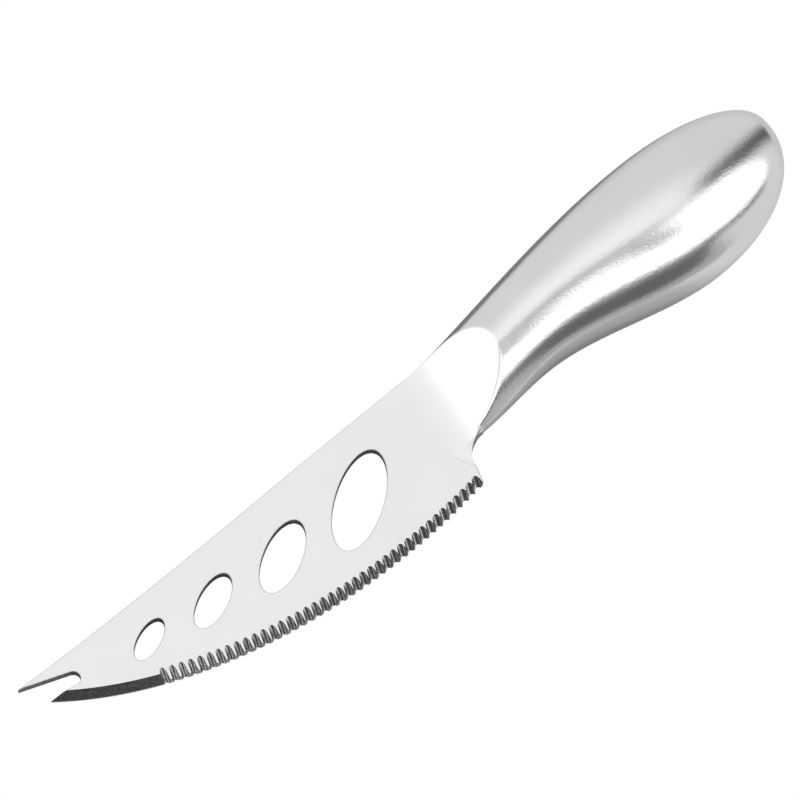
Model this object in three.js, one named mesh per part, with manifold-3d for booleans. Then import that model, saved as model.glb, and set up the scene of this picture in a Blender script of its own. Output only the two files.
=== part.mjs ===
// Forked cheese knife, all stainless steel: a pierced, serrated blade in a hollow two-shell handle.
// Millimetres. The knife is drawn lying flat: X runs from the tip towards the butt and is zero at the
// bolster line, Y rises to the spine and is zero on it, Z is square to the blade and zero at mid-thickness.
// At the end it is laid down as it rests on a table: on the swell of the handle and the tip of the blade.

import * as THREE from 'three';
import { mergeVertices } from 'three/addons/utils/BufferGeometryUtils.js';
import { ParametricGeometry } from 'three/addons/geometries/ParametricGeometry.js';
import Module from 'manifold-3d';

// Blade plate
const bladeLength = 124;
const bladeThickness = 1.8;
const spineCurveLength = 85;
const spineCurveSag = 0.9;
const spineCurveReach = 30;
const tipLift = 0.7;

// Cutting edge: heel, lower tine and the two pulls that shape the belly between them
const heelSetback = 9.5;
const heelDrop = 32.2;
const heelPull = 30.8;
const heelPullDrop = 36.9;
const tinePull = 29.9;
const tinePullDrop = 32.8;

// Hollow behind the heel
const notchRadius = 7.6;
const notchLand = 0.5;
const notchSweep = 80;

// Fork at the tip
const forkSlotDepth = 12.8;
const forkSlotRadius = 1.75;
const forkSlotDrop = 5.65;
const lowerTineSetback = 3.8;
const lowerTineDrop = 6.1;

// Slanted holes, from the heel to the tip: place ahead of the bolster line, drop below the spine,
// long and short axis, and lean of the long axis towards the handle
const holes = [
  { ahead: 33.5, drop: 16.3, length: 27.4, width: 11.3, lean: 33 },
  { ahead: 56.5, drop: 15.1, length: 20.1, width: 8.9, lean: 28 },
  { ahead: 76.0, drop: 12.7, length: 15.4, width: 6.8, lean: 24 },
  { ahead: 93.4, drop: 10.1, length: 11.8, width: 5.3, lean: 22 },
];

// Plain bevel behind the lower tine and the teeth behind it, all ground from the upper face.
// A tooth gap has a round bottom and two steep sides; from the heel to the tip it gets longer and narrower
const bevelWidth = 2.0;
const edgeThickness = 0.4;
const plainEdgeLength = 26.2;
const toothCount = 40;
const gapPlace = 0.74;
const gapLean = 21.5;
const gapPass = 10;
const heelGap = { run: 2.15, bite: 0.75, radius: 1.05, side: 72 };
const tipGap = { run: 3.15, bite: 0.35, radius: 0.78, side: 84 };

// Handle outline, measured from the bolster line and from the spine
const handleLength = 105.8;
const bolsterHeight = 22.4;
const waistStation = 23.8;
const waistDrop = 20.6;
const swellStation = 70.2;
const swellRise = 7.5;
const swellDrop = 29;
const buttDrop = 5.7;
const topSlope = 0.125;
const buttFullness = 2.1;
const noseHalfThickness = 6.8;
const swellHalfThickness = 11;

// Lower flank of the handle: leaner than an oval at the nose, fuller and fuller until it is a half oval.
// A fullness of 1 is a flat wedge and one of 2 an oval
const noseFlank = 1.5;
const ovalFlank = 2;
const flankRun = 30;

// Bolster and handle construction
const scoopRadius = 42.6;
const scoopLead = 8;
const scoopSlant = 12.5;
const bolsterLength = 18;
const spigotLength = 8;
const shellWall = 0.8;
const weldWidth = 0.6;
const seamWeldThickness = 0.4;
const fitGap = 0.3;

// Reach of the grinding tools above the blade and past the ends of a cut
const toolHeight = 6;
const toolOverrun = 1;

// Tang
const tangThickness = 0.9;
const tangWidth = 12;
const tangLength = 34;
const tangDrop = 16;

// Smoothness of the faceted surfaces
const ovalSides = 36;
const shellSteps = 22;
const bolsterSteps = 8;
const curveSteps = 24;
const bevelSteps = 8;
const scoopSides = 180;
const gapSteps = 8;

// Lie on a table: the swell lifts the handle, and the weight of the blade rolls the edge down
const restRoll = 3.9;

const steel = { color: 0xd9dadb, roughness: 0.28, metalness: 1 };
const satinSteel = { color: 0xcfd0d2, roughness: 0.36, metalness: 1 };
const weldSteel = { color: 0xbfc0c2, roughness: 0.45, metalness: 1 };

const wasm = await Module();
wasm.setup();

// A closed three.js geometry as a solid that can be joined and cut
function solid(geometry) {
  geometry.deleteAttribute('normal');
  geometry.deleteAttribute('uv');
  const merged = mergeVertices(geometry, 1e-4);
  const index = merged.index.array;
  const triangles = [];
  for (let i = 0; i < index.length; i += 3) {
    const [a, b, c] = index.slice(i, i + 3);
    if (a !== b && b !== c && c !== a) triangles.push(a, b, c);
  }
  return new wasm.Manifold(new wasm.Mesh({
    numProp: 3,
    vertProperties: new Float32Array(merged.attributes.position.array),
    triVerts: new Uint32Array(triangles),
  }));
}

function named(name, body, finish) {
  const mesh = body.getMesh();
  const geometry = new THREE.BufferGeometry();
  geometry.setAttribute('position', new THREE.BufferAttribute(mesh.vertProperties, 3));
  geometry.setIndex(new THREE.BufferAttribute(mesh.triVerts, 1));
  geometry.computeVertexNormals();
  const piece = new THREE.Mesh(geometry, new THREE.MeshStandardMaterial(finish));
  piece.name = name;
  return piece;
}

function plate(shape, thickness) {
  const geometry = new THREE.ExtrudeGeometry(shape, {
    depth: thickness,
    bevelEnabled: false,
    curveSegments: curveSteps,
  });
  return solid(geometry.translate(0, 0, -thickness / 2));
}

function block(x0, x1, y0, y1, z0, z1) {
  const geometry = new THREE.BoxGeometry(x1 - x0, y1 - y0, z1 - z0);
  return solid(geometry.translate((x0 + x1) / 2, (y0 + y1) / 2, (z0 + z1) / 2));
}

// Smooth run between two heights, with a slope at its start and none at its end
function easedRun(share, start, startSlope, end, run) {
  const t = THREE.MathUtils.clamp(share, 0, 1);
  const late = t * t * (3 - 2 * t);
  return start + (end - start) * late + startSlope * run * t * (1 - t) * (1 - t);
}

// Rounded closing of the butt: one at the swell, zero at the end
function buttClosing(x, inset, fullness) {
  const share = THREE.MathUtils.clamp((x - swellStation) / (handleLength - inset - swellStation), 0, 1);
  return Math.pow(1 - Math.pow(share, fullness), 1 / fullness);
}

function topLine(x, inset = 0) {
  if (x < swellStation) {
    return easedRun(x / swellStation, 0, topSlope, swellRise, swellStation) - inset;
  }
  return -buttDrop + (swellRise + buttDrop - inset) * buttClosing(x, inset, buttFullness);
}

function bottomLine(x, inset = 0) {
  if (x < waistStation) {
    return easedRun(x / waistStation, -bolsterHeight, 0, -waistDrop, waistStation) + inset;
  }
  if (x < swellStation) {
    const run = swellStation - waistStation;
    return easedRun((x - waistStation) / run, -waistDrop, 0, -swellDrop, run) + inset;
  }
  return -buttDrop - (swellDrop - buttDrop - inset) * buttClosing(x, inset, buttFullness);
}

function halfThickness(x, inset = 0) {
  if (x < swellStation) {
    return easedRun(x / swellStation, noseHalfThickness, 0, swellHalfThickness, swellStation) - inset;
  }
  return (swellHalfThickness - inset) * buttClosing(x, inset, 2);
}

function flankFullness(x) {
  return easedRun(x / flankRun, noseFlank, 0, ovalFlank, flankRun);
}

function signedPower(value, power) {
  return Math.sign(value) * Math.pow(Math.abs(value), power);
}

// Oval body of the handle between two stations, with flat or pole-closed ends
function ovalBody(from, to, inset, steps) {
  const capped = to < handleLength - inset;
  const rows = steps + (capped ? 2 : 1);
  function stationOf(share) {
    if (capped) return from + (to - from) * share;
    const straight = (swellStation - from) / (handleLength - from);
    if (share < straight) return from + (swellStation - from) * share / straight;
    const turn = (share - straight) / (1 - straight) * Math.PI / 2;
    return swellStation + (handleLength - inset - swellStation) * Math.sin(turn);
  }
  function place(around, along, target) {
    const row = Math.round(along * rows);
    const share = THREE.MathUtils.clamp((row - 1) / steps, 0, 1);
    const x = stationOf(share);
    const open = row === 0 || (capped && row === rows) ? 0 : 1;
    const angle = around * 2 * Math.PI;
    const power = Math.cos(angle) < 0 ? 2 / flankFullness(x) : 1;
    const top = topLine(x, inset);
    const bottom = bottomLine(x, inset);
    const y = (top + bottom) / 2 + open * (top - bottom) / 2 * signedPower(Math.cos(angle), power);
    target.set(x, y, open * halfThickness(x, inset) * signedPower(Math.sin(angle), power));
  }
  return solid(new ParametricGeometry(place, ovalSides, rows));
}

// Height of the oval body at a distance from the mid plane, as seen from the side
function rimPoint(x, z, side) {
  const top = topLine(x);
  const bottom = bottomLine(x);
  const fullness = side < 0 ? flankFullness(x) : ovalFlank;
  const share = Math.pow(1 - Math.pow(z / halfThickness(x), fullness), 1 / fullness);
  return new THREE.Vector2(x, (top + bottom) / 2 + side * share * (top - bottom) / 2);
}

const tipX = -bladeLength;
const lowerTine = new THREE.Vector2(tipX + lowerTineSetback, -lowerTineDrop);
const heel = new THREE.Vector2(-heelSetback, -heelDrop);
const edge = new THREE.CubicBezierCurve(
  heel,
  new THREE.Vector2(heel.x - heelPull, -heelPullDrop),
  new THREE.Vector2(lowerTine.x + tinePull, -tinePullDrop),
  lowerTine,
);

// Point on a circle where a line from an outside point touches it
function touchPoint(outside, centre, radius, side) {
  const away = new THREE.Vector2().subVectors(outside, centre);
  const turn = side * Math.acos(radius / away.length());
  return away.normalize().rotateAround(new THREE.Vector2(), turn).multiplyScalar(radius).add(centre);
}

function angleFrom(centre, point) {
  return Math.atan2(point.y - centre.y, point.x - centre.x);
}

function bladeOutline() {
  const tip = new THREE.Vector2(tipX, tipLift);
  const slot = new THREE.Vector2(tipX + forkSlotDepth - forkSlotRadius, -forkSlotDrop);
  const slotBelow = touchPoint(lowerTine, slot, forkSlotRadius, 1);
  const slotAbove = touchPoint(tip, slot, forkSlotRadius, -1);
  const notch = new THREE.Vector2(-notchLand, -bolsterHeight - notchRadius);
  const notchStart = Math.PI / 2;
  const notchEnd = notchStart + THREE.MathUtils.degToRad(notchSweep);

  const outline = new THREE.Shape();
  outline.moveTo(0, 0);
  outline.lineTo(0, -bolsterHeight);
  outline.absarc(notch.x, notch.y, notchRadius, notchStart, notchEnd, false);
  outline.lineTo(heel.x, heel.y);
  outline.bezierCurveTo(edge.v1.x, edge.v1.y, edge.v2.x, edge.v2.y, lowerTine.x, lowerTine.y);
  outline.lineTo(slotBelow.x, slotBelow.y);
  outline.absarc(slot.x, slot.y, forkSlotRadius, angleFrom(slot, slotBelow), angleFrom(slot, slotAbove), false);
  outline.lineTo(tip.x, tip.y);
  outline.quadraticCurveTo(tipX + spineCurveReach, -spineCurveSag, tipX + spineCurveLength, 0);
  outline.closePath();

  for (const hole of holes) {
    const lean = THREE.MathUtils.degToRad(hole.lean);
    const ring = new THREE.Path();
    ring.absellipse(-hole.ahead, -hole.drop, hole.length / 2, hole.width / 2, 0, 2 * Math.PI, false, lean);
    outline.holes.push(ring);
  }
  return outline;
}

// Rebated part of the plate: it fills the bolster to its rim and then narrows to the tang
function tangOutline() {
  const root = bladeThickness;
  const rear = bolsterLength;
  const points = [new THREE.Vector2(-root, -bolsterHeight + root), new THREE.Vector2(-root, -root)];
  for (let i = 0; i <= bolsterSteps; i++) {
    points.push(rimPoint(rear * i / bolsterSteps, tangThickness / 2, 1));
  }
  points.push(new THREE.Vector2(rear, -tangDrop + tangWidth));
  points.push(new THREE.Vector2(rear + tangLength, -tangDrop + tangWidth));
  points.push(new THREE.Vector2(rear + tangLength, -tangDrop));
  points.push(new THREE.Vector2(rear, -tangDrop));
  for (let i = bolsterSteps; i >= 0; i--) {
    points.push(rimPoint(rear * i / bolsterSteps, tangThickness / 2, -1));
  }
  return new THREE.Shape(points);
}

// Grinding tool for the plain bevel behind the lower tine: a bar along the edge, its lower side the bevel
function bevelTool() {
  const slope = (bladeThickness - edgeThickness) / bevelWidth;
  const start = 1 - plainEdgeLength / edge.getLength();
  const bar = new THREE.BoxGeometry(1, 1, 1, bevelSteps, 1, 1);
  const place = bar.attributes.position;
  for (let i = 0; i < place.count; i++) {
    const share = 0.5 - place.getX(i);
    const along = start + share * (1 - start);
    const forward = edge.getTangentAt(along);
    const point = edge.getPointAt(along);
    if (share === 1) point.addScaledVector(forward, toolOverrun);
    const inward = place.getY(i) > 0 ? bevelWidth + toolOverrun : -toolOverrun;
    const face = -bladeThickness / 2 + edgeThickness + inward * slope;
    const z = place.getZ(i) > 0 ? toolHeight : face;
    place.setXYZ(i, point.x + forward.y * inward, point.y - forward.x * inward, z);
  }
  return solid(bar);
}

// Grinding wheel pass for one tooth gap, leaning and dipping to the edge
function gapTool(point, share) {
  const run = THREE.MathUtils.lerp(heelGap.run, tipGap.run, share);
  const bite = THREE.MathUtils.lerp(heelGap.bite, tipGap.bite, share);
  const radius = THREE.MathUtils.lerp(heelGap.radius, tipGap.radius, share);
  const side = THREE.MathUtils.degToRad(THREE.MathUtils.lerp(heelGap.side, tipGap.side, share));
  const lean = THREE.MathUtils.degToRad(gapLean);
  const dip = Math.atan2(bladeThickness, run);
  const foot = new THREE.Vector2(radius * Math.sin(side), radius * (1 - Math.cos(side)));
  const top = new THREE.Vector2(foot.x + toolHeight / Math.tan(side), foot.y + toolHeight);
  const profile = new THREE.Shape();
  profile.moveTo(-top.x, top.y);
  profile.lineTo(-foot.x, foot.y);
  profile.absarc(0, radius, radius, -Math.PI / 2 - side, -Math.PI / 2 + side, false);
  profile.lineTo(top.x, top.y);
  const pass = new THREE.ExtrudeGeometry(profile, {
    depth: gapPass,
    bevelEnabled: false,
    curveSegments: gapSteps,
  });
  pass.translate(0, 0, -gapPass / 2);
  pass.rotateX(Math.PI / 2 + dip);
  pass.translate(0, bite, -bladeThickness / 2);
  pass.rotateZ(-lean);
  pass.translate(point.x, point.y, 0);
  return solid(pass);
}

// Geometry drawn at the origin, slanted and moved to the line where the scoops start
function atScoopStart(geometry, height) {
  geometry.rotateZ(-THREE.MathUtils.degToRad(scoopSlant));
  return solid(geometry.translate(-scoopLead, -bolsterHeight / 2, height));
}

// Round tool that hollows one face of the bolster, flush with the blade at its start
function scoopTool(side) {
  const scoop = new THREE.CylinderGeometry(scoopRadius, scoopRadius, 2 * bolsterHeight, scoopSides);
  return atScoopStart(scoop, side * (bladeThickness / 2 + scoopRadius));
}

// Nose of the handle carried forward over the plate, where both scoops run out
function makeRoot() {
  const nose = ovalBody(-2 * scoopLead, 0, 0, 1);
  const behind = new THREE.BoxGeometry(2 * scoopLead, 2 * bolsterHeight, bolsterHeight);
  const root = nose.intersect(atScoopStart(behind.translate(scoopLead, 0, 0), 0));
  return root.subtract(scoopTool(1)).subtract(scoopTool(-1));
}

function makeBlade() {
  let body = plate(bladeOutline(), bladeThickness).add(plate(tangOutline(), tangThickness)).add(makeRoot());
  body = body.subtract(bevelTool());
  const edgeLength = edge.getLength();
  const pitch = (edgeLength - plainEdgeLength) / toothCount;
  for (let i = 0; i < toothCount; i++) {
    const along = (i + gapPlace) * pitch;
    body = body.subtract(gapTool(edge.getPointAt(along / edgeLength), i / (toothCount - 1)));
  }
  return body;
}

// Half space on one side of the mid plane, from a given distance outwards
function sideOf(side, distance) {
  const reach = 2 * handleLength;
  const near = side * distance;
  const far = side * reach;
  return block(-reach, reach, -reach, reach, Math.min(near, far), Math.max(near, far));
}

// Solid scooped cheek on one face of the tang, with a spigot that enters the shell
function makeBolster(side) {
  const rear = bolsterLength;
  const nose = ovalBody(fitGap, rear, 0, bolsterSteps);
  const spigot = ovalBody(rear - shellWall, rear + spigotLength, shellWall + fitGap, bolsterSteps);
  const inner = tangThickness / 2 + fitGap;
  return nose.subtract(scoopTool(side)).add(spigot).intersect(sideOf(side, inner));
}

const girthStart = bolsterLength + fitGap;
const shellStart = girthStart + weldWidth + fitGap;

// Pressed half shell, open towards the mid plane and towards the bolster
function makeShell(side) {
  const outer = ovalBody(shellStart, handleLength, 0, shellSteps);
  const inner = ovalBody(shellStart - shellWall, handleLength, shellWall, shellSteps);
  const rim = seamWeldThickness / 2 + fitGap;
  return outer.subtract(inner).intersect(sideOf(side, rim));
}

// Weld bead round the joint between the bolster and the shells
function makeGirthWeld() {
  const end = girthStart + weldWidth;
  const outer = ovalBody(girthStart, end, 0, 1);
  const inner = ovalBody(girthStart - weldWidth, end + weldWidth, shellWall, 1);
  return outer.subtract(inner);
}

// Weld bead along the joint of the two shells: over the spine, round the butt and back along the belly
function makeSeamWeld() {
  const outer = ovalBody(shellStart, handleLength, 0, shellSteps);
  const inner = ovalBody(shellStart - shellWall, handleLength, shellWall, shellSteps);
  const half = seamWeldThickness / 2;
  const reach = 2 * handleLength;
  return outer.subtract(inner).intersect(block(-reach, reach, -reach, reach, -half, half));
}

const knife = new THREE.Group();
knife.add(
  named('blade', makeBlade(), steel),
  named('bolster_upper', makeBolster(1), steel),
  named('bolster_lower', makeBolster(-1), steel),
  named('handle_shell_upper', makeShell(1), satinSteel),
  named('handle_shell_lower', makeShell(-1), satinSteel),
  named('girth_weld', makeGirthWeld(), weldSteel),
  named('seam_weld', makeSeamWeld(), weldSteel),
);

// Laid on a table: rolled a little, then tilted until the swell and the lower tine are equally low
const roll = THREE.MathUtils.degToRad(restRoll);
const swellMiddle = (swellRise - swellDrop) / 2;
const swellHalfHeight = (swellRise + swellDrop) / 2;
const swellDepth = Math.hypot(swellHalfHeight * Math.sin(roll), swellHalfThickness * Math.cos(roll));
const swellLow = swellMiddle * Math.sin(roll) - swellDepth;
const tineLow = lowerTine.y * Math.sin(roll) - bladeThickness / 2 * Math.cos(roll);
const restTilt = Math.atan2(tineLow - swellLow, swellStation - lowerTine.x);
knife.rotation.set(roll, -restTilt, 0, 'YXZ');
const laid = new THREE.Group();
laid.add(knife);
laid.updateMatrixWorld(true);
const box = new THREE.Box3().setFromObject(laid, true);
const centre = box.getCenter(new THREE.Vector3());
knife.position.set(-centre.x, -centre.y, -box.min.z);

export default laid;
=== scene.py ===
from math import acos, atan2, cos, degrees, pi, radians, sin, sqrt, tan

import bmesh
import bpy
from mathutils import Matrix, Vector
from mathutils.geometry import interpolate_bezier

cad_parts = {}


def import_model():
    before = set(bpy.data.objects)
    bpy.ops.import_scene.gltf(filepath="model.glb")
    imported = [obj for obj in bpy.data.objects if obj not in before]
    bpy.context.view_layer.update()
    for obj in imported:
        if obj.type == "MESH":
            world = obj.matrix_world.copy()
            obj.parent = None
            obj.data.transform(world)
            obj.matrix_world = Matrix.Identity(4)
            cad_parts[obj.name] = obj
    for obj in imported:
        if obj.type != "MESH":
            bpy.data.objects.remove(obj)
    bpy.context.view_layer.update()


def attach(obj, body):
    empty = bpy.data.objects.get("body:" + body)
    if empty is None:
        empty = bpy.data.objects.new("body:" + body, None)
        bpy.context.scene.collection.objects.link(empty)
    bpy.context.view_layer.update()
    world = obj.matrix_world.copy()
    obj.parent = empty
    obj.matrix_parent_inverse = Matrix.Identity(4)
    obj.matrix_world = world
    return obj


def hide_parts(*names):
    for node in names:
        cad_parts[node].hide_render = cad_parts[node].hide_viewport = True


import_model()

# The knife is drawn in millimetres: X from tip to butt and zero at the bolster line, Y up to the
# spine, Z square to the blade. Then it is laid down as it rests on the table.
MILLIMETRE = 0.001
REST_ROLL = radians(3.9)
REST_TILT = radians(3.14535)
BOLSTER_POINT = (9.1016, 13.1517, 8.1785)
LAY_DOWN = (
    Matrix.Scale(MILLIMETRE, 4)
    @ Matrix.Translation(BOLSTER_POINT)
    @ Matrix.Rotation(-REST_TILT, 4, "Y")
    @ Matrix.Rotation(REST_ROLL, 4, "X")
)
LAY_TURN = LAY_DOWN.to_3x3().normalized()

# Blade plate. A hole has its distance ahead of the bolster line, its drop below the spine, its
# length, its width and its lean in degrees.
BLADE_LENGTH = 124.0
BLADE_HALF = 0.9
SPINE_CURVE_LENGTH = 85.0
SPINE_CURVE_SAG = 0.9
SPINE_CURVE_REACH = 30.0
TIP_LIFT = 0.7
HEEL = Vector((-9.5, -32.2, 0.0))
HEEL_PULL = Vector((-40.3, -36.9, 0.0))
TINE_PULL = Vector((-90.3, -32.8, 0.0))
LOWER_TINE = Vector((-120.2, -6.1, 0.0))
NOTCH_RADIUS = 7.6
NOTCH_LAND = 0.5
NOTCH_SWEEP = radians(80)
NOTCH_SHARE = 0.95
SLOT_RADIUS = 1.75
SLOT_CENTRE = Vector((-112.95, -5.65, 0.0))
HOLES = (
    (33.5, 16.3, 27.4, 11.3, 33),
    (56.5, 15.1, 20.1, 8.9, 28),
    (76.0, 12.7, 15.4, 6.8, 24),
    (93.4, 10.1, 11.8, 5.3, 22),
)
EASED_EDGE = 0.18
RIM_STEPS = 2
ARC_STEPS = 20
EDGE_STEPS = 96
MEASURE_STEPS = 400
SPINE_POINTS = 32
HOLE_SIDES = 72

# Finishes of the blade, by their place in its list, and limits that tell faces and edges apart
# The wall and rim finishes carry painted shade in their darker tones
FLAT, GROUND, SHADED_WALL, ROOT, SHADED_RIM = 0, 1, 2, 3, 4
LEVEL_FACING = 0.99
WALL_FACING = 0.1
SHARP_FACING = 0.999
SKIN_FACING = 0.3
HOLE_REACH = 1.2
CREASE = radians(30)

# Plain bevel, and tooth gaps with a round bottom and two steep sides. From the heel to the tip the
# gaps change in run, bite, radius and steepness.
BEVEL_WIDTH = 2.0
EDGE_THICKNESS = 0.4
PLAIN_EDGE_LENGTH = 26.2
TOOTH_COUNT = 40
GAP_PLACE = 0.74
GAP_LEAN = radians(21.5)
GAP_PASS = 10.0
HEEL_GAP = Vector((2.15, 0.75, 1.05, radians(72)))
TIP_GAP = Vector((3.15, 0.35, 0.78, radians(84)))
TOOL_HEIGHT = 6.0
BAR_STEPS = 12
BAR_MARGIN = 1.0

# Handle outline and thickness, the scoop of the bolster, and the scoop's lip on the blade
HANDLE_LENGTH = 105.8
BOLSTER_HEIGHT = 22.4
WAIST_STATION = 23.8
WAIST_DROP = 20.6
SWELL_STATION = 70.2
SWELL_RISE = 7.5
SWELL_DROP = 29.0
BUTT_DROP = 5.7
TOP_SLOPE = 0.125
BUTT_FULLNESS = 2.1
NOSE_HALF = 6.8
SWELL_HALF = 11.0
NOSE_FLANK = 1.5
OVAL_FLANK = 2.0
FLANK_RUN = 30.0
SCOOP_RADIUS = 42.6
SCOOP_LEAD = 8.0
SCOOP_SLANT = radians(12.5)
SCOOP_BLEND = 1.3
SMALLEST_BLEND = 1e-6
SCOOP_LEAD_SLOPE = 0.01
SCOOP_TRAIL = 0.6
SKIN_START = -11.5
LIP_SINK = 0.1
LIP_START = 0.6
LIP_FLANK = 8.0
LIP_RUN = 10.0
RING_SIDES = 180
NOSE_ROWS = 84
BODY_ROWS = 52
BUTT_ROWS = 48

# Joints of the handle: the tang between the cheeks, and the beads between cheeks and shells
TANG_HALF = 0.45
BOLSTER_END = 18.15
SHELL_START = 19.05
SEAM_HALF = 0.2
SHELL_WALL = 0.8
TANG_LENGTH = 34.0
TANG_WIDTH = 12.0
TANG_DROP = 16.0

# How near points count as one: distances in millimetres, and decimal places
SNAP = 1e-4
FINE_SNAP = 1e-5
ON_BOLSTER = 1e-3
PLACES = 3

# Camera of the photograph: its place is in the knife's own frame, its sight in metres
VIEW_CENTRE = Vector((-8.41, -3.32, 0.9))
VIEW_BACK = Vector((-0.3546, -0.3736, 0.8572)).normalized()
VIEW_RIGHT = Vector((0.7253, -0.6884, 0.0)).normalized()
VIEW_DISTANCE = 2760.9
LENS_LENGTH = 540.0
SENSOR_WIDTH = 36.0
SIGHT_END = 20.0

# Grain of the steel: fine noise, a coarser feather under it, and clouds that change the gloss
GRAIN_STRETCH = (0.7, 1.0, 1.0)
FEATHER_SCALE = 0.5
FEATHER_SHARE = 0.6
CLOUD_SCALE = 60.0
PATCH_RANGE = (0.35, 0.65)
STRONG_MOTTLE = 0.1
CLOUD_ROUGHNESS = 0.04
GRAIN_ROUGHNESS = 0.03
WHITE = (1, 1, 1, 1)

# Studio that the steel reflects. Turns go from straight behind the knife to the right and heights
# go up from the table, both in degrees. A pair of values is where a change starts and ends.
BACK_LIGHT = 0.74
BACK_LIFT = 0.34
BACK_LIFT_HEIGHTS = (44, 74)
CEILING_LOSS = 0.38
CEILING_HEIGHTS = (73, 82)
LEFT_BOX_LIGHT = 1.35
LEFT_BOX_NEAR_END = (-116, -108)
LEFT_BOX_FAR_END = (-53, -29)
MATT_LOSS = 0.9

# Dark slit between the back wall and the right soft box. Its edge, start and bend are shares
# of a ray's length.
SLIT_LIGHT = 0.08
SLIT_TURN = radians(36)
SLIT_EDGE = (0.015, 0.12)
SLIT_START = (0.03, 0.09)
SLIT_BEND = 0.06
SLIT_BEND_START = (70, 76)
SLIT_BEND_END = (80, 84)
SLIT_FADE = 0.75
SLIT_FAINT_START = (58, 66)
SLIT_FAINT_END = (72, 77)
SLIT_THINNESS = 0.55
SLIT_FAINT_THINNESS = 0.45
SLIT_TOP_THINNESS = 0.3
SLIT_TOP_START = (75, 79)

# Right soft box: its side leans out low down, its foot climbs towards the front in two slopes,
# there is a dark band under the foot, and its top has a dark edge that is placed as the slit is.
BOX_LIGHT = 1.4
BOX_SIDE = 40
BOX_SIDE_EDGE = (0, 3)
BOX_LEAN = 0.55
BOX_LEAN_HEIGHT = 55
BOX_FOOT = 20
BOX_FOOT_EDGE = (0, 2)
BOX_CLIMB = 0.66
BOX_CLIMB_TURN = 72
BOX_EASE = 0.36
BOX_EASE_TURN = 108
UNDER_BOX_LIGHT = 0.10
UNDER_BOX_SIDE = (72, 78)
UNDER_BOX_TOP = (-2, 0)
UNDER_BOX_FOOT = (5, 8)
BOX_TOP_LIGHT = 0.02
BOX_TOP_PLACE = 0.172
BOX_TOP_EDGE = (0.025, 0.06)
BOX_TOP_START = (0.01, 0.05)
BOX_TOP_END = (0.24, 0.34)

# Open front: grey low down, dark above, and darkest straight in front. On the right side the dark
# part starts lower further round.
FRONT_LIGHT = 0.43
FRONT_RIGHT_END = (106, 114)
FRONT_LEFT_END = (-120, -112)
FRONT_TOP = (68, 80)
FRONT_DARK = 0.14
FRONT_DARK_START = (29, 36)
FRONT_DARK_LIFT = 0.2
FRONT_DARK_LIFT_HEIGHTS = (41, 47)
FRONT_FALL = 16
FRONT_FALL_TURNS = (113, 122)
FRONT_SINK = 4
FRONT_SINK_TURNS = (122, 138)
DEEP_FRONT_LIGHT = 0.055
DEEP_FRONT_RIGHT_END = (140, 153)
DEEP_FRONT_LEFT_END = (-142, -130)

# Table, in metres: its glow, and a painted shadow of the knife that dims this glow where the steel
# shows it
TABLE_TONE = (0.7, 0.7, 0.7, 1)
TABLE_GLOW = 1.07
TABLE_RADIUS = 4.0
TABLE_SIDES = 96
TABLE_DROP = 0.0002
CAMERA_GLOW = 0.93
CLEAR_GLOW = 0.5
FRONT_GLOW = 0.22
FRONT_GLOW_LOSS = 0.32
SWELL_GLOW = 0.22
SWELL_GLOW_START = (0.068, 0.09)
FRONT_ZONE = (0.0, 0.03)
SHADE_HALF = 0.075
SHADE_EDGE = (0.015, 0.075)
SHADE_LINE = 0.03
SHADE_SHIFT = 0.01
SHADE_FRONT_SHIFT = 0.03
SHADE_FRONT_DEPTH = 0.6
LEE_START = (0.02, 0.04)
LEE_END = (0.06, 0.1)
LEE_DEPTH = 0.92

# Key lamp
LAMP_SIZE = 0.7
LAMP_POWER = 4.5
LAMP_DISTANCE = 1.5
LAMP_RISE = radians(48)
LAMP_SIDEWAYS = 0.35


class Wire:
    """A socket of a node tree; arithmetic on wires adds Math nodes."""

    def __init__(self, tree, socket=None):
        self.tree = tree
        self.socket = socket

    def node(self, kind, settings=None, sockets=None, out=0):
        made = self.tree.nodes.new(kind)
        for name, value in (settings or {}).items():
            setattr(made, name, value)
        for key, value in (sockets or {}).items():
            if isinstance(value, Wire):
                self.tree.links.new(value.socket, made.inputs[key])
            else:
                made.inputs[key].default_value = value
        return Wire(self.tree, made.outputs[out] if made.outputs else None)

    def maths(self, operation, *values):
        return self.node("ShaderNodeMath", {"operation": operation}, dict(enumerate(values)))

    def __add__(self, other):
        return self.maths("ADD", self, other)

    def __radd__(self, other):
        return self.maths("ADD", other, self)

    def __sub__(self, other):
        return self.maths("SUBTRACT", self, other)

    def __rsub__(self, other):
        return self.maths("SUBTRACT", other, self)

    def __mul__(self, other):
        return self.maths("MULTIPLY", self, other)

    def __rmul__(self, other):
        return self.maths("MULTIPLY", other, self)

    def rise(self, low, high):
        """Smooth step from 0 at low to 1 at high."""
        sockets = {"Value": self, "From Min": low, "From Max": high, "To Min": 0.0, "To Max": 1.0}
        return self.node("ShaderNodeMapRange", {"interpolation_type": "SMOOTHSTEP"}, sockets)


def piece_from(bm, name, finishes, replaced):
    """Named piece of the knife, laid down from a drawn solid that is used up."""
    bm.transform(LAY_DOWN)
    mesh = bpy.data.meshes.new(name)
    bm.to_mesh(mesh)
    bm.free()
    for finish in finishes:
        mesh.materials.append(finish)
    piece = bpy.data.objects.new(name, mesh)
    bpy.context.scene.collection.objects.link(piece)
    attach(piece, "root")
    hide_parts(*replaced)
    return piece


def of_kind(parts, kind):
    return [part for part in parts if isinstance(part, kind)]


# Handle

def eased_run(share, start, start_slope, end, run):
    """Smooth change from start to end over a run, with a slope at its start and none at its end."""
    t = min(max(share, 0.0), 1.0)
    return start + (end - start) * t * t * (3 - 2 * t) + start_slope * run * t * (1 - t) ** 2


def butt_closing(x, fullness):
    share = min(max((x - SWELL_STATION) / (HANDLE_LENGTH - SWELL_STATION), 0.0), 1.0)
    return (1 - share ** fullness) ** (1 / fullness)


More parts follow.
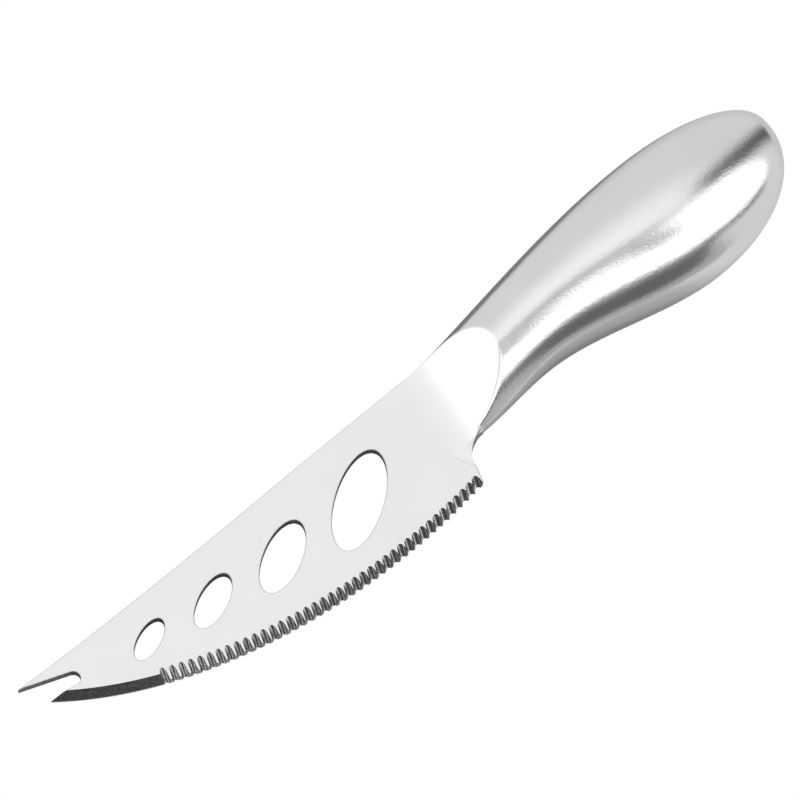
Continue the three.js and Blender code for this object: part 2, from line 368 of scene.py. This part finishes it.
def top_line(x):
    if x < SWELL_STATION:
        return eased_run(x / SWELL_STATION, 0.0, TOP_SLOPE, SWELL_RISE, SWELL_STATION)
    return -BUTT_DROP + (SWELL_RISE + BUTT_DROP) * butt_closing(x, BUTT_FULLNESS)


def bottom_line(x):
    if x < -NOTCH_LAND:
        across = min(-NOTCH_LAND - x, NOTCH_SHARE * NOTCH_RADIUS)
        return -BOLSTER_HEIGHT - NOTCH_RADIUS + sqrt(NOTCH_RADIUS ** 2 - across ** 2)
    if x < WAIST_STATION:
        return eased_run(x / WAIST_STATION, -BOLSTER_HEIGHT, 0.0, -WAIST_DROP, WAIST_STATION)
    if x < SWELL_STATION:
        run = SWELL_STATION - WAIST_STATION
        return eased_run((x - WAIST_STATION) / run, -WAIST_DROP, 0.0, -SWELL_DROP, run)
    return -BUTT_DROP - (SWELL_DROP - BUTT_DROP) * butt_closing(x, BUTT_FULLNESS)


def half_thickness(x):
    if x < SWELL_STATION:
        return eased_run(x / SWELL_STATION, NOSE_HALF, 0.0, SWELL_HALF, SWELL_STATION)
    return SWELL_HALF * butt_closing(x, 2)


def flank_fullness(x):
    """Shape of the lower flank: 1 is a flat wedge, 2 is a half oval, and more is squarer."""
    if x < 0:
        return eased_run(-x / LIP_RUN, NOSE_FLANK, 0.0, LIP_FLANK, LIP_RUN)
    return eased_run(x / FLANK_RUN, NOSE_FLANK, 0.0, OVAL_FLANK, FLANK_RUN)


def signed_power(value, power):
    return abs(value) ** power * (1 if value > 0 else -1)


def scooped(x, y, height):
    """Height over the mid plane, lowered by the slanted scoop with a softly rounded rim."""
    run = (x + SCOOP_LEAD) * cos(SCOOP_SLANT) - (y + BOLSTER_HEIGHT / 2) * sin(SCOOP_SLANT)
    if x < 0:
        run -= SCOOP_TRAIL * max(-BOLSTER_HEIGHT - y, 0.0)
    if run >= SCOOP_RADIUS:
        return height
    if run < 0:
        return min(height, BLADE_HALF + SCOOP_LEAD_SLOPE * run)
    scoop = BLADE_HALF + SCOOP_RADIUS - sqrt(SCOOP_RADIUS ** 2 - run ** 2)
    blend = SCOOP_BLEND * run / SCOOP_RADIUS + SMALLEST_BLEND
    overlap = max(blend - abs(height - scoop), 0.0) / blend
    return min(height, scoop) - overlap * overlap * blend / 4


def skin_stations():
    nose_run = BOLSTER_END - SKIN_START
    body_run = SWELL_STATION - BOLSTER_END
    butt_run = HANDLE_LENGTH - SWELL_STATION
    nose = [SKIN_START + nose_run * i / NOSE_ROWS for i in range(NOSE_ROWS)]
    body = [BOLSTER_END + body_run * i / BODY_ROWS for i in range(BODY_ROWS)]
    butt = [SWELL_STATION + butt_run * sin(pi / 2 * i / BUTT_ROWS) for i in range(BUTT_ROWS)]
    return nose + body + butt


def handle_body():
    """Closed body of bolster and handle; its points keep the outward direction of the skin."""
    bm = bmesh.new()
    turn = Matrix.Rotation(pi / 2, 4, "Y")
    bmesh.ops.create_circle(bm, segments=RING_SIDES, radius=1, matrix=turn)
    stations = skin_stations()
    rim = bm.edges[:]
    for _ in stations[1:]:
        grown = bmesh.ops.extrude_edge_only(bm, edges=rim)["geom"]
        ring = of_kind(grown, bmesh.types.BMVert)
        bmesh.ops.translate(bm, verts=ring, vec=(1, 0, 0))
        rim = [edge for edge in of_kind(grown, bmesh.types.BMEdge) if len(edge.link_faces) == 1]
    bmesh.ops.pointmerge(bm, verts=ring, merge_co=(len(stations) - 1, 0, 0))
    for vert in bm.verts:
        row = round(vert.co.x)
        angle = atan2(vert.co.z, vert.co.y)
        x = stations[row]
        top, bottom = top_line(x), bottom_line(x)
        if row == len(stations) - 1:
            vert.co = (HANDLE_LENGTH, -BUTT_DROP, 0)
            continue
        power = 2 / flank_fullness(x) if cos(angle) < 0 else 1.0
        y = (top + bottom) / 2 + (top - bottom) / 2 * signed_power(cos(angle), power)
        z = half_thickness(x) * signed_power(sin(angle), power)
        vert.co = (x, y, scooped(x, y, abs(z)) * (1 if z > 0 else -1))
    bmesh.ops.recalc_face_normals(bm, faces=bm.faces[:])
    outward = bm.verts.layers.float_vector.new("outward")
    bm.normal_update()
    for vert in bm.verts:
        vert[outward] = vert.normal
    bmesh.ops.edgeloop_fill(bm, edges=[edge for edge in bm.edges if edge.is_boundary])
    bmesh.ops.recalc_face_normals(bm, faces=bm.faces[:])
    return bm


def cut_from(body, planes, wall=None):
    """Piece of the body behind the given planes: a solid, or a shell with a wall grown inwards."""
    bm = body.copy()
    for place, facing in planes:
        everything = bm.verts[:] + bm.edges[:] + bm.faces[:]
        cut = bmesh.ops.bisect_plane(
            bm, geom=everything, dist=SNAP, plane_co=place, plane_no=facing, clear_outer=True,
        )["geom_cut"]
        if wall is None:
            bmesh.ops.holes_fill(bm, edges=of_kind(cut, bmesh.types.BMEdge))
    if wall is not None:
        bmesh.ops.solidify(bm, geom=bm.faces[:], thickness=wall)
    bmesh.ops.recalc_face_normals(bm, faces=bm.faces[:])
    return bm


def keep_skin_smooth(mesh):
    """Light the outer skin as one surface across the joints of its pieces."""
    outward = [LAY_TURN @ point.vector for point in mesh.attributes["outward"].data]
    shading = [corner.vector.copy() for corner in mesh.corner_normals]
    for face in mesh.polygons:
        on_skin = all(face.normal.dot(outward[i]) > SKIN_FACING for i in face.vertices)
        for loop in face.loop_indices:
            if on_skin:
                shading[loop] = outward[mesh.loops[loop].vertex_index].normalized()
    mesh.normals_split_custom_set(shading)
    mesh.attributes.remove(mesh.attributes["outward"])


# Cutting planes: a place, and the direction of what is cut away

def before(x):
    return (x, 0, 0), (1, 0, 0)


def after(x):
    return (x, 0, 0), (-1, 0, 0)


def past_scoop_start(distance):
    along = Vector((cos(SCOOP_SLANT), -sin(SCOOP_SLANT), 0))
    return Vector((-SCOOP_LEAD, -BOLSTER_HEIGHT / 2, 0)) + distance * along, -along


def over(height, side):
    return (0, 0, side * height), (0, 0, -side)


def within(height):
    return [((0, 0, height), (0, 0, 1)), ((0, 0, -height), (0, 0, -1))]


def joined(*solids):
    """Several solids in one mesh; the given ones are used up."""
    whole = solids[0]
    for part in solids[1:]:
        mesh = mesh_from(part)
        whole.from_mesh(mesh)
        bpy.data.meshes.remove(mesh)
    return whole


def make_handle(body, finish):
    """Two bolster cheeks, two pressed shells and the ground weld beads between them."""
    for side, name in ((1, "upper"), (-1, "lower")):
        cheek = cut_from(body, [after(0), before(BOLSTER_END), over(TANG_HALF, side)])
        shell = cut_from(body, [after(SHELL_START), over(SEAM_HALF, side)], SHELL_WALL)
        pieces = (
            (cheek, "bolster_cheek_" + name, "bolster_steel", "bolster_" + name),
            (shell, name + "_shell", "handle_steel", "handle_shell_" + name),
        )
        for bm, piece_name, slot, node in pieces:
            keep_skin_smooth(piece_from(bm, piece_name, [finish], (node,)).data)
    girth = cut_from(body, [after(BOLSTER_END), before(SHELL_START)], SHELL_WALL)
    seam = cut_from(body, [after(SHELL_START)] + within(SEAM_HALF), SHELL_WALL)
    beads = ((girth, "girth_bead", "girth_weld"), (seam, "seam_bead", "seam_weld"))
    for bm, piece_name, node in beads:
        keep_skin_smooth(piece_from(bm, piece_name, [finish], (node,)).data)


# Blade

def arc(centre, radius, start, end, steps):
    turns = [start + (end - start) * i / steps for i in range(steps + 1)]
    return [centre + radius * Vector((cos(turn), sin(turn), 0)) for turn in turns]


def touch_point(outside, centre, radius, side):
    """Where a line from a point outside touches a circle, on one of its two sides."""
    away = outside - centre
    turn = Matrix.Rotation(side * acos(radius / away.length), 3, "Z")
    return centre + turn @ away.normalized() * radius


def edge_curve(steps):
    return interpolate_bezier(HEEL, HEEL_PULL, TINE_PULL, LOWER_TINE, steps + 1)


def blade_outline():
    tip = Vector((-BLADE_LENGTH, TIP_LIFT, 0))
    below = touch_point(LOWER_TINE, SLOT_CENTRE, SLOT_RADIUS, 1) - SLOT_CENTRE
    above = touch_point(tip, SLOT_CENTRE, SLOT_RADIUS, -1) - SLOT_CENTRE
    notch = Vector((-NOTCH_LAND, -BOLSTER_HEIGHT - NOTCH_RADIUS, 0))
    pull = Vector((SPINE_CURVE_REACH - BLADE_LENGTH, -SPINE_CURVE_SAG, 0))
    spine = Vector((SPINE_CURVE_LENGTH - BLADE_LENGTH, 0, 0))
    points = [Vector((0, 0, 0)), Vector((0, -BOLSTER_HEIGHT, 0))]
    slot_start, slot_end = atan2(below.y, below.x), atan2(above.y, above.x)
    # Both pulls two thirds of the way to one point make this part of the spine a parabola
    tip_pull, spine_pull = tip.lerp(pull, 2 / 3), spine.lerp(pull, 2 / 3)
    points += arc(notch, NOTCH_RADIUS, pi / 2, pi / 2 + NOTCH_SWEEP, ARC_STEPS)
    points += edge_curve(EDGE_STEPS)
    points += arc(SLOT_CENTRE, SLOT_RADIUS, slot_start, slot_end, ARC_STEPS)
    points += interpolate_bezier(tip, tip_pull, spine_pull, spine, SPINE_POINTS)
    return points


def apply_cut(body, cutters, finishes):
    """Cut a mesh with other meshes and give back the result as a new mesh."""
    for mesh in [body] + cutters:
        for finish in finishes:
            mesh.materials.append(finish)
    holder = bpy.data.objects.new("blank", body)
    bpy.context.scene.collection.objects.link(holder)
    tools = []
    for mesh in cutters:
        tool = bpy.data.objects.new("cutter", mesh)
        bpy.context.scene.collection.objects.link(tool)
        cut = holder.modifiers.new("cut", "BOOLEAN")
        cut.operation = "DIFFERENCE"
        cut.solver = "EXACT"
        cut.object = tool
        tools.append(tool)
    graph = bpy.context.evaluated_depsgraph_get()
    result = bpy.data.meshes.new_from_object(holder.evaluated_get(graph))
    for thing in tools + [holder]:
        mesh = thing.data
        bpy.data.objects.remove(thing)
        bpy.data.meshes.remove(mesh)
    return result


def mesh_from(bm):
    mesh = bpy.data.meshes.new("shape")
    bm.to_mesh(mesh)
    bm.free()
    return mesh


def blade_blank():
    bm = bmesh.new()
    corners = [bm.verts.new(point + Vector((0, 0, BLADE_HALF))) for point in blade_outline()]
    for first, second in zip(corners, corners[1:] + corners[:1]):
        bm.edges.new((first, second))
    for ahead, drop, length, width, lean in HOLES:
        place = (
            Matrix.Translation((-ahead, -drop, BLADE_HALF))
            @ Matrix.Rotation(radians(lean), 4, "Z")
            @ Matrix.Diagonal((length / 2, width / 2, 1, 1))
        )
        bmesh.ops.create_circle(bm, segments=HOLE_SIDES, radius=1, matrix=place)
    bmesh.ops.remove_doubles(bm, verts=bm.verts[:], dist=SNAP)
    filled = bmesh.ops.triangle_fill(bm, edges=bm.edges[:], use_beauty=True)["geom"]
    faces = of_kind(filled, bmesh.types.BMFace)
    grown = bmesh.ops.extrude_face_region(bm, geom=faces, use_keep_orig=True)["geom"]
    lower = of_kind(grown, bmesh.types.BMVert)
    bmesh.ops.translate(bm, verts=lower, vec=(0, 0, -2 * BLADE_HALF))
    bmesh.ops.recalc_face_normals(bm, faces=bm.faces[:])

    def rounded(point):
        return round(point.x, PLACES), round(point.y, PLACES)

    edge_line = {rounded(point) for point in edge_curve(EDGE_STEPS)}

    def eased(edge):
        flat = [abs(face.normal.z) > LEVEL_FACING for face in edge.link_faces]
        if sorted(flat) != [False, True]:
            return False
        if all(vert.co.x > -ON_BOLSTER for vert in edge.verts):
            return False
        return not all(rounded(vert.co) in edge_line for vert in edge.verts)

    rims = [edge for edge in bm.edges if eased(edge)]
    bmesh.ops.bevel(
        bm, geom=rims, offset=EASED_EDGE, offset_type="OFFSET", affect="EDGES",
        segments=RIM_STEPS, profile=0.5, material=-1, clamp_overlap=True,
    )
    for face in bm.faces:
        face.material_index = finish_of(face)
    return mesh_from(bm)


def finish_of(face):
    """Rough finish darkened with painted shade for walls of holes and slot, a lighter one for rims,
    hollow and upper tine.
    """
    spot = face.calc_center_median()
    if abs(face.normal.z) > LEVEL_FACING:
        return FLAT
    if abs(face.normal.z) > WALL_FACING:
        return SHADED_RIM
    for ahead, drop, length, width, lean in HOLES:
        across = Matrix.Rotation(radians(-lean), 2) @ (spot.xy - Vector((-ahead, -drop)))
        if (2 * across.x / length) ** 2 + (2 * across.y / width) ** 2 < HOLE_REACH:
            return SHADED_WALL
    if spot.x > HEEL.x and spot.y < -BOLSTER_HEIGHT:
        return SHADED_RIM
    if spot.x < SLOT_CENTRE.x + 2 * SLOT_RADIUS and face.normal.y * (spot.y - SLOT_CENTRE.y) < 0:
        return SHADED_RIM if spot.x < SLOT_CENTRE.x else SHADED_WALL
    return FLAT


def along_edge(distance):
    """Point and direction on the cutting edge, at a distance from the heel."""
    points = edge_curve(MEASURE_STEPS)
    for first, second in zip(points, points[1:]):
        step = (second - first).length
        if distance <= step:
            return first.lerp(second, distance / step), (second - first).normalized()
        distance -= step
    return points[-1], (points[-1] - points[-2]).normalized()


def edge_length():
    points = edge_curve(MEASURE_STEPS)
    return sum((second - first).length for first, second in zip(points, points[1:]))


def bevel_bar():
    """Bar that grinds the plain bevel, from the last tooth to past the tip."""
    slope = (2 * BLADE_HALF - EDGE_THICKNESS) / BEVEL_WIDTH
    start = edge_length() - PLAIN_EDGE_LENGTH
    bm = bmesh.new()
    for i in range(BAR_STEPS + 1):
        point, ahead = along_edge(start + PLAIN_EDGE_LENGTH * i / BAR_STEPS)
        if i == BAR_STEPS:
            point = point + BAR_MARGIN * ahead
        inward = Vector((ahead.y, -ahead.x, 0))
        ring = []
        near, far = -BAR_MARGIN, BEVEL_WIDTH + BAR_MARGIN
        for reach, top in ((near, False), (far, False), (far, True), (near, True)):
            height = TOOL_HEIGHT if top else -BLADE_HALF + EDGE_THICKNESS + reach * slope
            ring.append(bm.verts.new(point + inward * reach + Vector((0, 0, height))))
        for first, second in zip(ring, ring[1:] + ring[:1]):
            bm.edges.new((first, second))
    bmesh.ops.bridge_loops(bm, edges=bm.edges[:])
    bmesh.ops.holes_fill(bm, edges=[edge for edge in bm.edges if edge.is_boundary])
    bmesh.ops.recalc_face_normals(bm, faces=bm.faces[:])
    return ground_tool(bm)


def gap_cutters(first):
    """Grinding passes of every other tooth gap, leaning and dipping to the edge."""
    bm = bmesh.new()
    pitch = (edge_length() - PLAIN_EDGE_LENGTH) / TOOTH_COUNT
    for i in range(first, TOOTH_COUNT, 2):
        point, _ = along_edge((i + GAP_PLACE) * pitch)
        run, bite, radius, side = HEEL_GAP.lerp(TIP_GAP, i / (TOOTH_COUNT - 1))
        dip = atan2(2 * BLADE_HALF, run)
        bottom = arc(Vector((0, radius, 0)), radius, -pi / 2 - side, -pi / 2 + side, ARC_STEPS)
        rise = Vector((TOOL_HEIGHT / tan(side), TOOL_HEIGHT, 0))
        profile = [bottom[0] + Vector((-rise.x, rise.y, 0))] + bottom + [bottom[-1] + rise]
        place = (
            Matrix.Translation(point)
            @ Matrix.Rotation(-GAP_LEAN, 4, "Z")
            @ Matrix.Translation((0, bite, -BLADE_HALF))
            @ Matrix.Rotation(pi / 2 + dip, 4, "X")
            @ Matrix.Translation((0, 0, -GAP_PASS / 2))
        )
        end = bm.faces.new([bm.verts.new(corner) for corner in profile])
        grown = bmesh.ops.extrude_face_region(bm, geom=[end], use_keep_orig=True)["geom"]
        far = of_kind(grown, bmesh.types.BMVert)
        bmesh.ops.translate(bm, verts=far, vec=(0, 0, GAP_PASS))
        bmesh.ops.transform(bm, verts=list(end.verts) + far, matrix=place)
    bmesh.ops.recalc_face_normals(bm, faces=bm.faces[:])
    return ground_tool(bm)


def ground_tool(bm):
    """Mesh of a grinding tool, whose faces leave the ground finish."""
    for face in bm.faces:
        face.material_index = GROUND
    return mesh_from(bm)


def make_blade(body, finishes):
    """Ground plate, the lips of both scoops, the root that fills the bolster, and the tang."""
    ground = apply_cut(blade_blank(), [bevel_bar(), gap_cutters(0), gap_cutters(1)], finishes)
    plate = bmesh.new()
    plate.from_mesh(ground)
    bpy.data.meshes.remove(ground)
    bmesh.ops.remove_doubles(plate, verts=plate.verts[:], dist=FINE_SNAP)
    root = cut_from(body, [after(0), before(BOLSTER_END)] + within(TANG_HALF))
    tang_place = (
        Matrix.Translation((BOLSTER_END + TANG_LENGTH / 2, -TANG_DROP + TANG_WIDTH / 2, 0))
        @ Matrix.Diagonal((TANG_LENGTH, TANG_WIDTH, 2 * TANG_HALF, 1))
    )
    bmesh.ops.create_cube(root, size=1, matrix=tang_place)
    lip_start = past_scoop_start(LIP_START)
    lips = [
        cut_from(body, [before(0), lip_start, over(BLADE_HALF - LIP_SINK, side)])
        for side in (1, -1)
    ]
    for part in [root] + lips:
        for face in part.faces:
            face.material_index = ROOT
    bm = joined(plate, root, *lips)
    for face in bm.faces:
        face.smooth = face.material_index == ROOT or abs(face.normal.z) < SHARP_FACING
    for edge in bm.edges:
        edge.smooth = not edge.is_manifold or edge.calc_face_angle() < CREASE
    keep_skin_smooth(piece_from(bm, "slicing_blade", finishes, ("blade",)).data)


# Materials

def satin_steel(name, tone, roughness, grain_scale, grain_depth, mottle):
    """Steel with a fine grain in its surface and a slow change of tone and gloss."""
    material = bpy.data.materials.new(name)
    material.use_nodes = True
    tree = material.node_tree
    tree.nodes.clear()
    paint = Wire(tree)
    place = paint.node("ShaderNodeTexCoord", out="Object")
    stretched = paint.node("ShaderNodeMapping", sockets={"Vector": place, "Scale": GRAIN_STRETCH})

    def noise(where, scale, detail):
        sockets = {"Vector": where, "Scale": scale, "Detail": detail}
        return paint.node("ShaderNodeTexNoise", sockets=sockets)

    grain = noise(stretched, grain_scale, 2.0)
    feather = noise(stretched, FEATHER_SCALE * grain_scale, 1.0)
    cloud = noise(place, CLOUD_SCALE, 3.0)
    bump = paint.node("ShaderNodeBump", sockets={
        "Height": grain + FEATHER_SHARE * feather,
        "Strength": 1.0,
        "Distance": grain_depth,
    })
    dark = [channel * (1 - mottle) for channel in tone] + [1.0]
    light = [min(channel * (1 + mottle), 1.0) for channel in tone] + [1.0]
    patchy = grain.rise(*PATCH_RANGE) if mottle > STRONG_MOTTLE else cloud
    colour = paint.node(
        "ShaderNodeMix", {"data_type": "RGBA"}, {"Factor": patchy, 6: dark, 7: light}, out=2,
    )
    gloss_loss = roughness - GRAIN_ROUGHNESS + CLOUD_ROUGHNESS * cloud + GRAIN_ROUGHNESS * grain
    surface = paint.node("ShaderNodeBsdfPrincipled", sockets={
        "Base Color": colour,
        "Metallic": 1.0,
        "Roughness": gloss_loss,
        "Normal": bump,
    })
    paint.node("ShaderNodeOutputMaterial", sockets={"Surface": surface})
    return material


# Studio

def mix(first, second, share):
    return first + share * (second - first)


def light_studio(away, across):
    """White tent behind and beside the knife, open and dark towards the front."""
    world = bpy.data.worlds.new("studio_tent")
    bpy.context.scene.world = world
    world.use_nodes = True
    tree = world.node_tree
    tree.nodes.clear()
    paint = Wire(tree)
    ray = paint.node("ShaderNodeTexCoord", out="Generated")

    def along(axis):
        dot = {"operation": "DOT_PRODUCT"}
        return paint.node("ShaderNodeVectorMath", dot, {0: ray, 1: axis}, out="Value")

    def at_least_zero(wire):
        return paint.maths("MAXIMUM", wire, 0.0)

    forward, right, up = along(away), along(across), along((0, 0, 1))
    turn = paint.maths("ARCTAN2", right, forward) * degrees(1)
    height = paint.maths("ARCSINE", up) * degrees(1)

    back = BACK_LIGHT + BACK_LIFT * height.rise(*BACK_LIFT_HEIGHTS)
    left_box = (1 - turn.rise(*LEFT_BOX_FAR_END)) * turn.rise(*LEFT_BOX_NEAR_END)
    light = mix(back, LEFT_BOX_LIGHT, left_box) * (1 - CEILING_LOSS * height.rise(*CEILING_HEIGHTS))

    past_slit = forward * -sin(SLIT_TURN) + right * cos(SLIT_TURN)
    along_slit = forward * cos(SLIT_TURN) + right * sin(SLIT_TURN)
    bend = SLIT_BEND * height.rise(*SLIT_BEND_START) * (1 - height.rise(*SLIT_BEND_END))
    faint = height.rise(*SLIT_FAINT_START) * (1 - height.rise(*SLIT_FAINT_END))
    thinness = SLIT_THINNESS + SLIT_FAINT_THINNESS * faint
    thinness = thinness + SLIT_TOP_THINNESS * height.rise(*SLIT_TOP_START)
    off_slit = paint.maths("ABSOLUTE", past_slit - bend) * thinness
    slit = (1 - off_slit.rise(*SLIT_EDGE)) * along_slit.rise(*SLIT_START)
    light = mix(light, SLIT_LIGHT, slit * (1 - SLIT_FADE * faint))

    box_side = BOX_SIDE + BOX_LEAN * at_least_zero(BOX_LEAN_HEIGHT - height)
    box_foot = BOX_FOOT + BOX_CLIMB * at_least_zero(turn - BOX_CLIMB_TURN)
    box_foot = box_foot - BOX_EASE * at_least_zero(turn - BOX_EASE_TURN)
    right_box = (turn - box_side).rise(*BOX_SIDE_EDGE) * (height - box_foot).rise(*BOX_FOOT_EDGE)
    below = box_foot - height
    under_box = below.rise(*UNDER_BOX_TOP) * (1 - below.rise(*UNDER_BOX_FOOT))
    under_box = under_box * turn.rise(*UNDER_BOX_SIDE)
    light = mix(light, UNDER_BOX_LIGHT, under_box)

    front = turn.rise(*FRONT_RIGHT_END) + (1 - turn.rise(*FRONT_LEFT_END))
    deep_front = turn.rise(*DEEP_FRONT_RIGHT_END) + (1 - turn.rise(*DEEP_FRONT_LEFT_END))
    dark_front = FRONT_DARK + FRONT_DARK_LIFT * height.rise(*FRONT_DARK_LIFT_HEIGHTS)
    dark_height = height + FRONT_FALL * turn.rise(*FRONT_FALL_TURNS)
    dark_height = dark_height + FRONT_SINK * turn.rise(*FRONT_SINK_TURNS)
    front_light = mix(FRONT_LIGHT, dark_front, dark_height.rise(*FRONT_DARK_START))
    front_light = mix(front_light, DEEP_FRONT_LIGHT, deep_front)
    light = mix(light, front_light, front * (1 - height.rise(*FRONT_TOP)))

    light = mix(light, BOX_LIGHT, right_box)
    box_top = 1 - paint.maths("ABSOLUTE", along_slit - BOX_TOP_PLACE).rise(*BOX_TOP_EDGE)
    box_top = box_top * past_slit.rise(*BOX_TOP_START) * (1 - past_slit.rise(*BOX_TOP_END))
    light = mix(light, BOX_TOP_LIGHT, box_top)

    to_camera = paint.node("ShaderNodeLightPath", out="Is Camera Ray")
    to_matt = paint.node("ShaderNodeLightPath", out="Is Diffuse Ray")
    strength = mix(light * (1 - MATT_LOSS * to_matt), 1.0, to_camera)
    sky = paint.node("ShaderNodeBackground", sockets={"Color": WHITE, "Strength": strength})
    paint.node("ShaderNodeOutputWorld", sockets={"Surface": sky})


def make_floor():
    """Pale table: white to the camera but for a shadow, and with a painted shadow near the knife
    that only the steel sees.
    """
    material = bpy.data.materials.new("pale_table")
    material.use_nodes = True
    tree = material.node_tree
    tree.nodes.clear()
    paint = Wire(tree)
    place = paint.node("ShaderNodeTexCoord", out="Object")
    spot = paint.node("ShaderNodeSeparateXYZ", sockets={"Vector": place}, out="X")
    beside = paint.node("ShaderNodeSeparateXYZ", sockets={"Vector": place}, out="Y")
    # Painted shadow in the steel: the glow is dimmed along and behind the knife, and a painted
    # brighter patch lies in front of the swell
    in_front = (0.0 - beside).rise(*FRONT_ZONE)
    along = spot + SHADE_SHIFT + SHADE_FRONT_SHIFT * in_front
    past_ends = paint.maths("MAXIMUM", paint.maths("ABSOLUTE", along) - SHADE_HALF, 0.0)
    lee = beside.rise(*LEE_START) * (1 - spot.rise(*LEE_END))
    behind = (beside - SHADE_LINE) * (1 - SHADE_FRONT_DEPTH * in_front - LEE_DEPTH * lee)
    reach = paint.maths("SQRT", past_ends * past_ends + behind * behind)
    clear = reach.rise(*SHADE_EDGE)
    matt = paint.node("ShaderNodeBsdfDiffuse", sockets={"Color": TABLE_TONE})
    glow = paint.node("ShaderNodeEmission", sockets={"Color": WHITE, "Strength": TABLE_GLOW})
    to_camera = paint.node("ShaderNodeLightPath", out="Is Camera Ray")
    to_metal = paint.node("ShaderNodeLightPath", out="Is Glossy Ray")
    to_glass = paint.node("ShaderNodeLightPath", out="Is Transmission Ray")
    by_swell = SWELL_GLOW * spot.rise(*SWELL_GLOW_START)
    front_share = FRONT_GLOW - FRONT_GLOW_LOSS * clear + by_swell
    seen_in_metal = CLEAR_GLOW * clear + in_front * front_share
    share = CAMERA_GLOW * to_camera + seen_in_metal * (to_metal + to_glass)
    surface = paint.node("ShaderNodeMixShader", sockets={0: share, 1: matt, 2: glow})
    paint.node("ShaderNodeOutputMaterial", sockets={"Surface": surface})
    bm = bmesh.new()
    lowered = Matrix.Translation((0, 0, -TABLE_DROP))
    bmesh.ops.create_circle(
        bm, cap_ends=True, segments=TABLE_SIDES, radius=TABLE_RADIUS, matrix=lowered,
    )
    mesh = mesh_from(bm)
    mesh.materials.append(material)
    floor = bpy.data.objects.new("table_top", mesh)
    bpy.context.scene.collection.objects.link(floor)


def make_key_lamp(away, across):
    """Large lamp at the back, for the shadow that the knife throws on the table."""
    lamp = bpy.data.lights.new("key_lamp", "AREA")
    lamp.shape = "DISK"
    lamp.size = LAMP_SIZE
    lamp.energy = LAMP_POWER
    key = bpy.data.objects.new("key_lamp", lamp)
    level = (away + LAMP_SIDEWAYS * across).normalized()
    towards = level * cos(LAMP_RISE) + Vector((0, 0, sin(LAMP_RISE)))
    key.location = towards * LAMP_DISTANCE
    key.rotation_euler = towards.to_track_quat("Z", "Y").to_euler()
    key.visible_glossy = False
    bpy.context.scene.collection.objects.link(key)


def make_camera():
    """Camera of the photograph; returns the level directions away from it and across its view."""
    back = (LAY_TURN @ VIEW_BACK).normalized()
    right = (LAY_TURN @ VIEW_RIGHT).normalized()
    up = back.cross(right).normalized()
    right = up.cross(back)
    centre = LAY_DOWN @ VIEW_CENTRE
    lens = bpy.data.cameras.new("photo_camera")
    lens.sensor_width = SENSOR_WIDTH
    lens.lens = LENS_LENGTH
    lens.clip_end = SIGHT_END
    camera = bpy.data.objects.new("photo_camera", lens)
    place = Matrix((right, up, back)).transposed().to_4x4()
    place.translation = centre + back * VIEW_DISTANCE * MILLIMETRE
    camera.matrix_world = place
    bpy.context.scene.collection.objects.link(camera)
    bpy.context.scene.camera = camera
    away = Vector((-back.x, -back.y, 0)).normalized()
    return away, away.cross(Vector((0, 0, 1)))


away, across = make_camera()
light_studio(away, across)
make_key_lamp(away, across)
make_floor()

handle_finish = satin_steel(
    "satin_handle_steel", tone=(0.83, 0.83, 0.835), roughness=0.17,
    grain_scale=2600.0, grain_depth=0.000016, mottle=0.04,
)
blade_finish = satin_steel(
    "satin_blade_steel", tone=(0.84, 0.84, 0.845), roughness=0.2,
    grain_scale=3500.0, grain_depth=0.000003, mottle=0.04,
)
ground_finish = satin_steel(
    "ground_edge_steel", tone=(0.84, 0.84, 0.85), roughness=0.16,
    grain_scale=2200.0, grain_depth=0.000008, mottle=0.25,
)
# Walls of holes and slot: rough steel whose dark tone is painted shade
wall_shade_finish = satin_steel(
    "cut_wall_painted_shade", tone=(0.3, 0.3, 0.31), roughness=0.36,
    grain_scale=2500.0, grain_depth=0.00001, mottle=0.2,
)
# Eased rims, hollow and upper tine: rough steel whose darkened tone is painted shade
rim_shade_finish = satin_steel(
    "eased_rim_painted_shade", tone=(0.52, 0.52, 0.53), roughness=0.4,
    grain_scale=2500.0, grain_depth=0.00001, mottle=0.15,
)

steel_body = handle_body()
make_handle(steel_body, handle_finish)
make_blade(steel_body, [blade_finish, ground_finish, wall_shade_finish, handle_finish, rim_shade_finish])
steel_body.free()
bpy.context.scene.view_settings.view_transform = "Standard"
